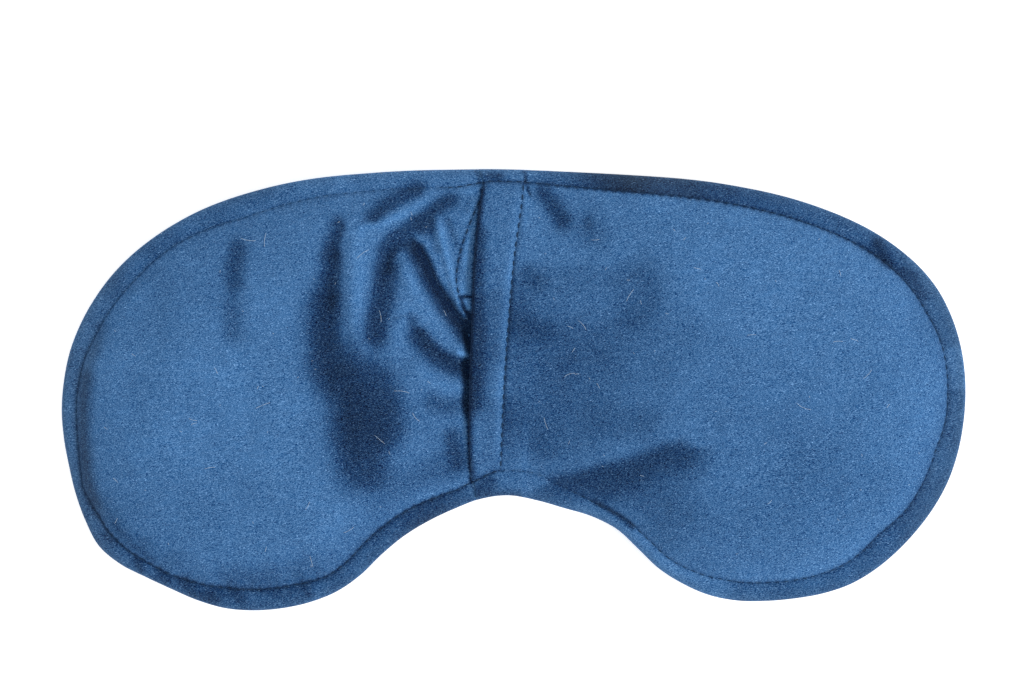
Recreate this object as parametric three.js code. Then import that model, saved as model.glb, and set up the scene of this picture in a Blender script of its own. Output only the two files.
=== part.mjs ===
// Sleep eye mask: a velvet cover with an envelope opening across the nose bridge, and inside it a
// removable cotton pouch with two grain-filled eye chambers.
// Millimetres, +Z up. The mask lies flat with its plain side down and its opening side up, the brow
// edge towards +Y and the nose notch towards -Y. The origin is the bottom centre of its bounding box.
// The cover is one flexible cloth that folds beside the nose bridge, so each panel is divided at the
// two fold lines into a left lobe, a bridge and a right lobe.
import * as THREE from "three";

// Cloth, thread and clearance.
const VELVET = 0.8;
const COTTON = 0.5;
const THREAD = 0.4;
const GAP = 0.3;

// The flat sewn border, from the mask's edge in to its topstitching.
const BORDER = 4.2;
const BORDER_LIFT = 2.2; // height of its underside above the table, beside the filled lobes
const UNDERSIDE_CURVE = 8; // the underside comes down to the table over this width

// The filled lobes.
const PAD_TOP = 12;
const PAD_SHOULDER = 22; // the upper side rises from the border to full height over this width
const SHOULDER_POWER = 2.2;
const BRIDGE_RAMP = 20; // and from a fold line to full height over this width

// The two fold lines, which are hinge axes along Y.
const LEFT_FOLD_X = -14;
const RIGHT_FOLD_X = 10;
const FOLD_GAP = 0.5;

// The envelope opening: the flap's folded edge, its root, and the ends of the slit.
const FLAP_EDGE_X = -8.6;
const FLAP_ROOT_X = -0.3;
const OPENING_LOW_Y = -21.5;
const OPENING_HIGH_Y = 49;
const UNDERLAP_EDGE_X = 3;
const UNDERLAP_HEM = 14;

// Edge of the mask, clockwise from its left end.
const OUTLINE = [
  [-110, -5], [-107, 12], [-96.5, 29], [-79, 42], [-56, 49.8], // left brow
  [-30, 52.8], [-4, 53.5], [25, 52.2], [50, 50], // straight brow edge
  [72, 45], [90, 36.8], [102.5, 25.5], [108.9, 11], [110, -6], // right brow
  [105.6, -23.5], [94.8, -38.5], [82, -47.8], [66, -51.5], [50, -51], // right cheek
  [37, -45], [24, -33.5], [12, -29.2], [-3, -26.2], [-16, -30.2], // nose notch
  [-28, -37], [-41, -48.4], [-54, -53.2], [-70, -53.6], [-86, -47.6], // left cheek
  [-100, -39.5], [-105.8, -28], [-108.4, -18],
];
const EDGE_STEP = 7; // spacing of the points along the edge
const FOLD_STEP = 9; // and along a fold line

// Rings of a lobe's pieces, from its edge inwards. The outer ones are offsets, by a distance in from the
// mask's edge and one from the fold line. The inner ones are the last offset shrunk towards the centre.
const OFFSET_RINGS = [
  { edge: 0, fold: 0 },
  { edge: BORDER, fold: 0.8 },
  { edge: 6.8, fold: 1.6 },
];
const SCALED_RINGS = [0.93, 0.84, 0.5];
const POUCH_RING = 2; // the pouch starts at this ring
const FILL_RING = 3; // and its filling at this one

// Heights of the layers at the nose bridge, from the table up.
const ALLOWANCE_Z = VELVET + GAP;
const BORDER_BACK_Z = ALLOWANCE_Z + VELVET + GAP;
const POUCH_Z = VELVET + GAP;
const CHAMBER_STITCH_Z = POUCH_Z + 2 * COTTON + GAP;
const HEM_THICKNESS = 2 * VELVET + GAP;
const UNDERLAP_Z = CHAMBER_STITCH_Z + THREAD + GAP;
const FLAP_Z = UNDERLAP_Z + HEM_THICKNESS + GAP;
const LEFT_FOLD_LEVEL = UNDERLAP_Z + VELVET + GAP; // underside of the upper panel at each fold line
const RIGHT_FOLD_LEVEL = 4.6;

const COLOURS = {
  velvet: new THREE.MeshStandardMaterial({ color: 0x3f6ea5, roughness: 0.95, metalness: 0 }),
  thread: new THREE.MeshStandardMaterial({ color: 0x1f3f6b, roughness: 0.7, metalness: 0 }),
  cotton: new THREE.MeshStandardMaterial({ color: 0xe4dccb, roughness: 0.9, metalness: 0 }),
  grain: new THREE.MeshStandardMaterial({ color: 0x8a5a33, roughness: 0.6, metalness: 0 }),
};

// ---- Outline ----

// Evenly spaced points of the mask's edge, anticlockwise, centred on its bounding box.
function edgePoints() {
  const curve = new THREE.CatmullRomCurve3(
    OUTLINE.map(([x, y]) => new THREE.Vector3(x, y, 0)), true, "centripetal");
  const count = Math.round(curve.getLength() / EDGE_STEP);
  const points = curve.getSpacedPoints(count).slice(0, -1).map((p) => new THREE.Vector2(p.x, p.y));
  const centre = new THREE.Box2().setFromPoints(points).getCenter(new THREE.Vector2());
  return points.map((p) => p.sub(centre)).reverse();
}

const EDGE = edgePoints();

// Where the segment from a to b crosses the vertical line at x.
function crossing(a, b, x) {
  return new THREE.Vector2().lerpVectors(a, b, (x - a.x) / (b.x - a.x));
}

// The open runs of the edge that lie between two vertical lines, each ending exactly on the lines.
function edgeRuns(low, high) {
  const inside = (p) => p.x > low && p.x < high;
  const start = EDGE.findIndex((p, i) => !inside(EDGE.at(i - 1)) && inside(p));
  const runs = [];
  for (let k = 0; k < EDGE.length; k++) {
    const i = (start + k) % EDGE.length;
    const [before, here, after] = [EDGE.at(i - 1), EDGE[i], EDGE[(i + 1) % EDGE.length]];
    if (!inside(here)) continue;
    if (!inside(before)) runs.push([crossing(before, here, before.x <= low ? low : high)]);
    runs.at(-1).push(here.clone());
    if (!inside(after)) runs.at(-1).push(crossing(here, after, after.x <= low ? low : high));
  }
  return runs;
}

// Points from a to b, about FOLD_STEP apart, without the two ends.
function between(a, b) {
  const steps = Math.round(a.distanceTo(b) / FOLD_STEP);
  return Array.from({ length: steps - 1 }, (_, i) =>
    new THREE.Vector2().lerpVectors(a, b, (i + 1) / steps));
}

// Closed outline of a lobe, with the number of its points that are on the mask's edge.
function lobeOutline(low, high) {
  const [run] = edgeRuns(low, high);
  return { points: [...run, ...between(run.at(-1), run[0])], onEdge: run.length };
}

// Closed outline of the bridge: the brow edge and the nose edge, joined along the fold lines.
function bridgeOutline(low, high) {
  const [first, second] = edgeRuns(low, high);
  return [
    ...first, ...between(first.at(-1), second[0]),
    ...second, ...between(second.at(-1), first[0]),
  ];
}

// Unit normal that points into an anticlockwise outline from its side a to b.
function inwardNormal(a, b) {
  return new THREE.Vector2(a.y - b.y, b.x - a.x).normalize();
}

// The move that puts a corner at distance d1 from its first side and d2 from its second.
function cornerMove(n1, d1, n2, d2) {
  const det = n1.x * n2.y - n1.y * n2.x;
  if (Math.abs(det) < 0.3) return n1.clone().add(n2).normalize().multiplyScalar((d1 + d2) / 2);
  return new THREE.Vector2((d1 * n2.y - d2 * n1.y) / det, (d2 * n1.x - d1 * n2.x) / det);
}

// A closed outline moved inwards. distance(i) is how far the side from point i to point i + 1 moves.
function inset(points, distance) {
  const n = points.length;
  return points.map((p, i) => {
    const before = (i + n - 1) % n;
    const n1 = inwardNormal(points[before], p);
    const n2 = inwardNormal(p, points[(i + 1) % n]);
    return p.clone().add(cornerMove(n1, distance(before), n2, distance(i)));
  });
}

// An open run of the edge moved inwards. Its ends stay on their fold lines.
function insetRun(run, distance) {
  return run.map((p, i) => {
    const n1 = inwardNormal(run[Math.max(i - 1, 0)], run[Math.max(i, 1)]);
    const n2 = inwardNormal(run[Math.min(i, run.length - 2)], run[Math.min(i + 1, run.length - 1)]);
    const end = i === 0 || i === run.length - 1;
    if (end) return new THREE.Vector2(p.x, p.y + Math.sign(n1.y) * distance);
    return p.clone().add(n1.add(n2).normalize().multiplyScalar(distance));
  });
}

// ---- Heights ----

function smooth(from, to, value) {
  return THREE.MathUtils.smoothstep(value, from, to);
}

// Distance from a point to the mask's edge.
function edgeDistance(p) {
  const nearest = new THREE.Vector3();
  const side = new THREE.Line3();
  const at = new THREE.Vector3(p.x, p.y, 0);
  return Math.min(...EDGE.map((a, i) => {
    const b = EDGE[(i + 1) % EDGE.length];
    side.start.set(a.x, a.y, 0);
    side.end.set(b.x, b.y, 0);
    return side.closestPointToPoint(at, true, nearest).distanceTo(at);
  }));
}

// 0 at the bridge and at both fold lines, 1 over the lobes.
function lobeShare(p) {
  return smooth(0, BRIDGE_RAMP, Math.max(LEFT_FOLD_X - p.x, p.x - RIGHT_FOLD_X, 0));
}

// Underside of the lower panel.
function lowerPanelZ(p) {
  const inward = smooth(BORDER, BORDER + UNDERSIDE_CURVE, edgeDistance(p));
  return BORDER_LIFT * lobeShare(p) * (1 - inward);
}

// Underside of the upper panel.
function upperPanelZ(p) {
  const border = lowerPanelZ(p) + BORDER_BACK_Z;
  const foldLevel = p.x < 0 ? LEFT_FOLD_LEVEL : RIGHT_FOLD_LEVEL;
  const inner = THREE.MathUtils.lerp(foldLevel, PAD_TOP - VELVET, lobeShare(p));
  const inward = THREE.MathUtils.clamp((edgeDistance(p) - BORDER) / PAD_SHOULDER, 0, 1);
  return THREE.MathUtils.lerp(border, inner, 1 - (1 - inward) ** SHOULDER_POWER);
}

// ---- Solids ----

function geometryOf(positions, triangles) {
  const geometry = new THREE.BufferGeometry();
  geometry.setAttribute("position", new THREE.Float32BufferAttribute(positions, 3));
  geometry.setIndex(triangles);
  return geometry;
}

// A layer over nested anticlockwise rings around a centre, between the heights bottom(p) and top(p).
function layer(rings, centre, bottom, top) {
  const n = rings[0].length;
  const points = [...rings.flat(), centre];
  const positions = [bottom, top].flatMap((z) => points.flatMap((p) => [p.x, p.y, z(p)]));
  const last = (rings.length - 1) * n;
  const middle = points.length - 1;
  const up = points.length; // from a point of the lower side to the same point of the upper side
  const triangles = [];
  for (let i = 0; i < n; i++) {
    const j = (i + 1) % n;
    triangles.push(i, j, up + j, i, up + j, up + i);
    for (let r = 0; r < last; r += n) {
      const [a, b, c, d] = [r + i, r + j, r + n + j, r + n + i];
      triangles.push(up + a, up + b, up + c, up + a, up + c, up + d);
      triangles.push(a, c, b, a, d, c);
    }
    triangles.push(up + last + i, up + last + j, up + middle);
    triangles.push(last + i, middle, last + j);
  }
  return geometryOf(positions, triangles);
}

// A flat ribbon between an outer and an inner run of points, between bottom(p) and top(p).
function ribbon(outer, inner, bottom, top) {
  const n = outer.length;
  const positions = [[outer, bottom], [inner, bottom], [inner, top], [outer, top]]
    .flatMap(([run, z]) => run.flatMap((p) => [p.x, p.y, z(p)]));
  const triangles = [];
  for (let i = 0; i < n - 1; i++) {
    for (let side = 0; side < 4; side++) {
      const [a, b] = [side * n + i, ((side + 1) % 4) * n + i];
      triangles.push(a, b, b + 1, a, b + 1, a + 1);
    }
  }
  const e = n - 1;
  triangles.push(0, 3 * n, 2 * n, 0, 2 * n, n);
  triangles.push(e, n + e, 2 * n + e, e, 2 * n + e, 3 * n + e);
  return geometryOf(positions, triangles);
}

// A sewing thread along a run of 3-D points.
function thread(points) {
  const circle = new THREE.Path().absarc(0, 0, THREAD / 2, 0, 2 * Math.PI);
  return new THREE.ExtrudeGeometry(new THREE.Shape(circle.getPoints(3)), {
    steps: points.length - 1,
    extrudePath: new THREE.CatmullRomCurve3(points),
    bevelEnabled: false,
  });
}

// A shape drawn in the XZ plane, extruded along the opening.
function alongOpening(shape) {
  const length = OPENING_HIGH_Y - OPENING_LOW_Y;
  return new THREE.ExtrudeGeometry(shape, { depth: length, bevelEnabled: false, curveSegments: 5 })
    .rotateX(Math.PI / 2)
    .translate(0, OPENING_HIGH_Y, 0);
}

// Section of a folded hem: an upper layer from openX to foldX, turned under and back as far as underX.
function hemShape(foldX, openX, underX, z) {
  const side = Math.sign(foldX - openX);
  const radius = HEM_THICKNESS / 2;
  const bendX = foldX - side * radius;
  const middle = z + radius;
  const [upper, lower] = [Math.PI / 2, -Math.PI / 2];
  const shape = new THREE.Shape();
  shape.moveTo(openX, z + HEM_THICKNESS);
  shape.absarc(bendX, middle, radius, upper, lower, side > 0);
  shape.lineTo(underX, z);
  shape.lineTo(underX, z + VELVET);
  shape.absarc(bendX, middle, GAP / 2, lower, upper, side < 0);
  shape.lineTo(openX, z + VELVET + GAP);
  return shape;
}

// ---- Pieces ----

const mask = new THREE.Group();

function add(name, geometry, material) {
  const mesh = new THREE.Mesh(geometry, material);
  mesh.name = name;
  mask.add(mesh);
}

const raised = (height, amount) => (p) => height(p) + amount;
const level = (z) => () => z;

// The cloths of one lobe, its border and its half of the pouch.
function addLobe(side, low, high) {
  const { points, onEdge } = lobeOutline(low, high);
  const centre = points.reduce((sum, p) => sum.add(p), new THREE.Vector2()).divideScalar(points.length);
  const offsets = OFFSET_RINGS.map(({ edge, fold }) =>
    inset(points, (i) => (i < onEdge - 1 ? edge : fold)));
  const scaled = SCALED_RINGS.map((scale) => offsets.at(-1).map((p) => centre.clone().lerp(p, scale)));
  const rings = [...offsets, ...scaled];
  const pouch = rings.slice(POUCH_RING);
  const fill = rings.slice(FILL_RING);

  const pouchBase = raised(lowerPanelZ, VELVET + GAP);
  const pouchTop = raised(upperPanelZ, -GAP);
  add(`front_cloth_${side}`, layer(rings, centre, lowerPanelZ, raised(lowerPanelZ, VELVET)), COLOURS.velvet);
  add(`back_cloth_${side}`, layer(rings, centre, upperPanelZ, raised(upperPanelZ, VELVET)), COLOURS.velvet);
  add(`pouch_base_${side}`, layer(pouch, centre, pouchBase, raised(pouchBase, COTTON)), COLOURS.cotton);
  add(`pouch_top_${side}`, layer(pouch, centre, raised(pouchTop, -COTTON), pouchTop), COLOURS.cotton);
  add(`grain_fill_${side}`,
    layer(fill, centre, raised(pouchBase, COTTON + GAP), raised(pouchTop, -COTTON - GAP)), COLOURS.grain);
  addBorder(side, points.slice(0, onEdge));
}

// The turned-in seam allowance inside a stretch of the border, and the topstitching on it.
function addBorder(name, run) {
  const allowance = raised(lowerPanelZ, ALLOWANCE_Z);
  add(`edge_allowance_${name}`,
    ribbon(insetRun(run, 0.5), insetRun(run, BORDER - 0.6), allowance, raised(allowance, VELVET)),
    COLOURS.velvet);
  const stitchZ = raised(lowerPanelZ, BORDER_BACK_Z + VELVET + GAP + THREAD / 2);
  const line = insetRun(run, BORDER - THREAD).map((p) => new THREE.Vector3(p.x, p.y, stitchZ(p)));
  add(`edge_stitch_${name}`, thread(line), COLOURS.thread);
}

// A straight line of stitching along the opening.
function seamThread(x, z) {
  return thread([OPENING_LOW_Y, OPENING_HIGH_Y].map((y) => new THREE.Vector3(x, y, z + THREAD / 2)));
}

// The part of the upper right panel that runs from the flap's stitching down to the right fold line.
function bridgeClothShape(startX, endX, startZ, endZ) {
  const shape = new THREE.Shape();
  shape.moveTo(startX, startZ + VELVET);
  shape.lineTo(startX, startZ);
  shape.lineTo(endX, endZ);
  shape.lineTo(endX, endZ + VELVET);
  return shape;
}

function addBridge(low, high) {
  const outline = bridgeOutline(low, high);
  const centre = new THREE.Vector2((low + high) / 2, (OPENING_LOW_Y + OPENING_HIGH_Y) / 2);
  add("front_cloth_bridge", layer([outline], centre, level(0), level(VELVET)), COLOURS.velvet);

  const pouch = outline.map((p) => new THREE.Vector2(
    p.x, THREE.MathUtils.clamp(p.y, OPENING_LOW_Y, OPENING_HIGH_Y - BORDER)));
  add("pouch_bridge", layer([pouch], centre, level(POUCH_Z), level(POUCH_Z + 2 * COTTON)), COLOURS.cotton);
  add("chamber_stitch_left", seamThread(low + 2, CHAMBER_STITCH_Z), COLOURS.thread);
  add("chamber_stitch_right", seamThread(high - 2, CHAMBER_STITCH_Z), COLOURS.thread);

  for (const run of edgeRuns(low, high)) {
    const name = run[0].y > 0 ? "brow" : "nose";
    addBorder(name, run);
    const [base, top] = [level(BORDER_BACK_Z), level(BORDER_BACK_Z + VELVET)];
    add(`back_border_${name}`, ribbon(run, insetRun(run, BORDER), base, top), COLOURS.velvet);
  }

  const underX = UNDERLAP_EDGE_X - UNDERLAP_HEM;
  add("underlap_hem", alongOpening(hemShape(UNDERLAP_EDGE_X, low, underX, UNDERLAP_Z)), COLOURS.velvet);
  add("underlap_stitch", seamThread(underX + 0.7, UNDERLAP_Z + HEM_THICKNESS + GAP), COLOURS.thread);
  add("opening_flap", alongOpening(hemShape(FLAP_EDGE_X, FLAP_ROOT_X, FLAP_ROOT_X, FLAP_Z)), COLOURS.velvet);

  const clothX = FLAP_ROOT_X + 1.5;
  const clothZ = FLAP_Z + VELVET + GAP;
  add("back_cloth_bridge",
    alongOpening(bridgeClothShape(clothX, high, clothZ, RIGHT_FOLD_LEVEL)), COLOURS.velvet);
  add("flap_stitch", seamThread(clothX + 0.5, clothZ + VELVET + GAP), COLOURS.thread);
}

addLobe("left", -Infinity, LEFT_FOLD_X - FOLD_GAP);
addLobe("right", RIGHT_FOLD_X + FOLD_GAP, Infinity);
addBridge(LEFT_FOLD_X + FOLD_GAP, RIGHT_FOLD_X - FOLD_GAP);

export default mask;
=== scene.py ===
"""The looks of a sleep eye mask: a velvet cover with an envelope opening, and a grain-filled pouch inside it.

Shapes are worked out in millimetres in the model's own frame, and turned into metres when a mesh is made.
Each cloth is one sheet of height over the table.
"""
import math
from collections import Counter

import bpy
import numpy as np
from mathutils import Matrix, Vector
from mathutils.geometry import delaunay_2d_cdt


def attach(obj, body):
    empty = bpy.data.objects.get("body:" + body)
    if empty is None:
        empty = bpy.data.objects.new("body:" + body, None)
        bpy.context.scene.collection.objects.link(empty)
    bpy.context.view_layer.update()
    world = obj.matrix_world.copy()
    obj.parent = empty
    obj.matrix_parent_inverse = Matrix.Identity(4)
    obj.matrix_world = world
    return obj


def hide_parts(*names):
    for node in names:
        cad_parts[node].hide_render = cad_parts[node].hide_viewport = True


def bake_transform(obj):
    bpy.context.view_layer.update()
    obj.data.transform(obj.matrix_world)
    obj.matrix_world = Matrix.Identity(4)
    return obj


MM = 0.001

# Width of the flat sewn border at each x, along the brow and along the cheeks and nose.
BROW_BORDER = [(-110, 3.8), (-106, 4.8), (-97, 5.2), (-85, 4.6), (-67, 5.7), (-45, 4.6), (-14, 4.4), (-6, 3.0),
               (2, 3.0), (12, 3.6), (30, 4.2), (62, 4.7), (93, 4.8), (105, 5.4), (109.5, 4.5)]
CHEEK_BORDER = [(-110, 3.8), (-107, 2.3), (-104, 3.8), (-100, 4.3), (-85, 3.1), (-70, 5.2), (-52, 5.2), (-43, 4.4),
                (-30, 5.0), (-23, 4.9), (-12, 4.0), (-7.5, 4.8), (-4, 6.0), (4, 6.4), (14, 4.4), (20, 3.1),
                (38, 3.6), (50, 4.7), (68, 4.5), (84, 5.2), (93, 6.2), (100, 5.3), (108, 5.6), (109.8, 4.5)]
BORDER_PARTS_Y = -5.0   # the brow's border is above this, and the cheeks' and nose's below
EDGE_COUNT = 900
STAR_Y = 14             # seen from (0, this), the mask's edge never doubles back
UPRIGHT = 0.02          # a side of the frame is upright in plan if its ends are nearer than this in x
UNDERSIDE = -0.5        # and a face is on a cloth's underside if its normal points further down than this

# Heights in millimetres.
PAD_TOP = 11.7
BORDER_HALF = 1.3       # half the thickness of the border's rounded edge
BRIDGE_SEAM = 1.5       # middle of the border at the nose bridge
SEAM_LIFT = 2.2         # and how much higher it is beside the lobes
UNDERLAP_TOP = 4.9
FLAP_BASE, FLAP_TOP = 5.3, 7.1

STITCH_PITCH = 2.3
HINGES = {"left": -14.0, "right": 10.0}
BENDS = {"left": (-9.5, -29.0), "right": (4.0, 26.0)}   # where a cloth would start and end to turn with a lobe; bend() reads this but turns nothing
SPLIT_X = -2.0          # the front cloth, border and pouch are halves that meet here

# The envelope opening: the flap's folded edge and the two rows of hem stitching, from the brow down.
FLAP_EDGE = [(-7.1, 50.5), (-8.1, 46), (-8.9, 40), (-9.7, 30), (-10.1, 20), (-10.3, 14.5), (-10.7, 3), (-10.9, -7),
             (-10.7, -17), (-10.2, -24)]
FLAP_STITCH = [(2.5, 50.5), (2.1, 46), (0.2, 32.4), (-1.3, 15.7), (-2.5, -3), (-3.1, -18.4), (-3.2, -22)]
UNDERLAP_STITCH = [(-8.4, 46), (-10.8, 40), (-12.9, 33.5), (-13.9, 27), (-13.2, 22.5)]

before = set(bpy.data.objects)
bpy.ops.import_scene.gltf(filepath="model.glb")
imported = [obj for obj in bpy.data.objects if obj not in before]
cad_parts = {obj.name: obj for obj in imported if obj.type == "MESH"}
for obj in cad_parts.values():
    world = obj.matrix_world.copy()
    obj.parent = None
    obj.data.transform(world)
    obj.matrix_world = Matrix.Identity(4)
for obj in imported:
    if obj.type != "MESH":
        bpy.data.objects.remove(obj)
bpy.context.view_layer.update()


# ---- Curves and fields ----

def smooth(low, high, value):
    t = np.clip((value - low) / (high - low), 0, 1)
    return t * t * (3 - 2 * t)


def resample(points, count, closed):
    """Points evenly spaced along a polyline, by the length of its first two columns."""
    p = np.vstack([points, points[:1]]) if closed else np.asarray(points)
    length = np.concatenate([[0], np.cumsum(np.linalg.norm(np.diff(p[:, :2], axis=0), axis=1))])
    at = np.linspace(0, length[-1], count, endpoint=not closed)
    return np.column_stack([np.interp(at, length, column) for column in p.T])


def curve(points, count, closed=False):
    """A centripetal Catmull-Rom curve through the points, evenly spaced."""
    p = np.array(points, float)
    if not closed:
        p = np.vstack([2 * p[0] - p[1], p, 2 * p[-1] - p[-2]])
    spans = range(len(p)) if closed else range(1, len(p) - 2)
    fine = []
    for i in spans:
        q = p[[(i + k) % len(p) for k in (-1, 0, 1, 2)]]
        t = np.concatenate([[0], np.cumsum(np.sqrt(np.linalg.norm(np.diff(q[:, :2], axis=0), axis=1)))])
        u = np.linspace(t[1], t[2], 20, endpoint=False)[:, None]

        def mix(a, b, ta, tb):
            return ((tb - u) * a + (u - ta) * b) / (tb - ta)

        a = [mix(q[k], q[k + 1], t[k], t[k + 1]) for k in range(3)]
        b = [mix(a[k], a[k + 1], t[k], t[k + 2]) for k in range(2)]
        fine.append(mix(b[0], b[1], t[1], t[2]))
    if not closed:
        fine.append(p[-2:-1])
    return resample(np.concatenate(fine), count, closed)


def path_distance(xy, path):
    """Distance from each point to a polyline, and the position of the nearest place along it, in sides."""
    a, b = path[:-1], path[1:]
    step = b - a
    best = np.full(len(xy), 1e9)
    place = np.zeros(len(xy))
    for start in range(0, len(xy), 400):
        x, y = xy[start:start + 400, :1] - a[:, 0], xy[start:start + 400, 1:] - a[:, 1]
        t = np.clip((x * step[:, 0] + y * step[:, 1]) / (step * step).sum(1), 0, 1)
        gap = (x - t * step[:, 0]) ** 2 + (y - t * step[:, 1]) ** 2
        nearest = gap.argmin(1)
        rows = np.arange(len(nearest))
        best[start:start + 400] = np.sqrt(gap[rows, nearest])
        place[start:start + 400] = nearest + t[rows, nearest]
    return best, place


def inside(xy, polygon):
    """Whether each point is inside a polygon."""
    x, y = xy[:, :1], xy[:, 1:]
    ax, ay = polygon.T
    bx, by = np.roll(polygon, -1, axis=0).T
    crosses = (ay > y) != (by > y)
    slope = (bx - ax) / np.where(by == ay, 1, by - ay)
    return (crosses & (x < ax + slope * (y - ay))).sum(1) % 2 == 1


def waves(x, y, length, seed):
    """Smooth irregular waves about one length long, between -1 and 1."""
    rng = np.random.default_rng(seed)
    total = 0
    for _ in range(7):
        angle, phase = rng.uniform(0, 2 * math.pi, 2)
        k = 2 * math.pi / (length * rng.uniform(0.7, 1.5))
        total = total + np.sin(k * (x * math.cos(angle) + y * math.sin(angle)) + phase)
    return total / 4


def frame_outline():
    """Corners of the mask's edge in the frame, clockwise.

    They end the sides that only one face of the front cloth's underside has. The other sides like that are
    the fold lines, which run straight from brow to nose.
    """
    sides = Counter()
    for name in ("front_cloth_left", "front_cloth_bridge", "front_cloth_right"):
        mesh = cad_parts[name].data
        points = [(round(v.co.x / MM, 2), round(v.co.y / MM, 2)) for v in mesh.vertices]
        for face in mesh.polygons:
            if face.normal.z < UNDERSIDE:
                loop = [points[i] for i in face.vertices]
                sides.update(frozenset(side) for side in zip(loop, loop[1:] + loop[:1]))
    rim = [tuple(side) for side, count in sides.items() if count == 1]
    fold_lines = {p for a, b in rim if abs(a[0] - b[0]) < UPRIGHT for p in (a, b)}
    corners = {p for side in rim for p in side} - fold_lines
    return sorted(corners, key=lambda p: -math.atan2(p[1] - STAR_Y, p[0]))


def border_width(xy):
    """Width of the border at each point of the mask's edge."""
    brow, cheek = (np.interp(xy[:, 0], *np.transpose(widths)) for widths in (BROW_BORDER, CHEEK_BORDER))
    return np.where(xy[:, 1] > BORDER_PARTS_Y, brow, cheek)


EDGE = curve(frame_outline(), EDGE_COUNT, closed=True)[::-1]
EDGE = np.column_stack([EDGE, border_width(EDGE)])
EDGE[:, :2] -= (EDGE[:, :2].min(0) + EDGE[:, :2].max(0)) / 2
EDGE_XY = EDGE[:, :2]
EDGE_LENGTH = np.linalg.norm(np.roll(EDGE_XY, -1, 0) - EDGE_XY, axis=1).sum()
tangent = np.roll(EDGE_XY, -1, 0) - np.roll(EDGE_XY, 1, 0)
EDGE_NORMAL = np.column_stack([-tangent[:, 1], tangent[:, 0]]) / np.linalg.norm(tangent, axis=1)[:, None]


def edge_ring(share):
    """The mask's edge moved inwards by a share of the border's width."""
    return EDGE_XY + EDGE_NORMAL * (EDGE[:, 2] * share)[:, None]


STITCH_RING = edge_ring(1.0)
FLAP_EDGE_CURVE = curve(FLAP_EDGE, 120)
FLAP_STITCH_CURVE = curve(FLAP_STITCH, 120)
UNDERLAP_STITCH_CURVE = curve(UNDERLAP_STITCH, 40)


def x_at(path, y):
    """The x of a brow-to-nose path at each y."""
    return np.interp(-y, -path[:, 1], path[:, 0])


class Place:
    """Points of the mask's plan, with where each one is across the border and along the edge."""

    def __init__(self, xy):
        self.xy = xy
        self.x, self.y = xy.T
        closed = np.vstack([EDGE_XY, EDGE_XY[:1]])
        gap, along = path_distance(xy, closed)
        width = np.interp(along, np.arange(EDGE_COUNT + 1), np.append(EDGE[:, 2], EDGE[0, 2]))
        self.edge = gap                     # distance in from the edge
        self.past_stitch = gap - width      # distance in from the topstitching
        self.along = along / EDGE_COUNT * EDGE_LENGTH


# ---- Heights of the sheets ----

def lobe_share(x, ramp):
    """0 over the nose bridge, 1 over the lobes."""
    return smooth(0, ramp, np.maximum(np.maximum(HINGES["left"] - x, x - HINGES["right"]), 0))


def seam_z(p):
    return BRIDGE_SEAM + SEAM_LIFT * lobe_share(p.x, 20)


def stitch_beat(p):
    """1 at each stitch hole of the topstitching, -1 between holes."""
    return np.cos(2 * math.pi * p.along / STITCH_PITCH)


def stitch_pull(p):
    """How hard the topstitching pulls: hardly at all along the left of the brow, 1 at the right and the cheeks."""
    brow_left = 0.85 * smooth(0, 20, p.y) * smooth(12, 20, -p.x)
    bridge = 0.8 * smooth(-5, -2, p.x) * smooth(-20, -12, -p.x) * (p.y < 0)
    nose_right = 0.4 * smooth(14, 24, p.x) * smooth(10, 20, -p.y)
    left_rim = 0.5 * smooth(90, 100, -p.x) * smooth(-35, -25, p.y) * smooth(-20, 0, -p.y)
    return 1 - brow_left - np.maximum(bridge, nose_right) - left_rim


def crumple(p):
    """Where the border is crumpled: round the left cheek."""
    return smooth(25, 45, -p.x) * smooth(20, 34, -p.y)


def border_round(p):
    return np.sqrt(1 - (1 - np.clip(p.edge / 1.1, 0, 1)) ** 2)


def pad_rise(past_stitch):
    """Share of the pad's height at a distance in from the topstitching."""
    t = np.maximum(past_stitch, 0)
    return 0.12 * (1 - np.exp(-t / 1.0)) + 0.88 * (1 - (1 - np.clip(t / 25, 0, 1)) ** 2.3)
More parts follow.
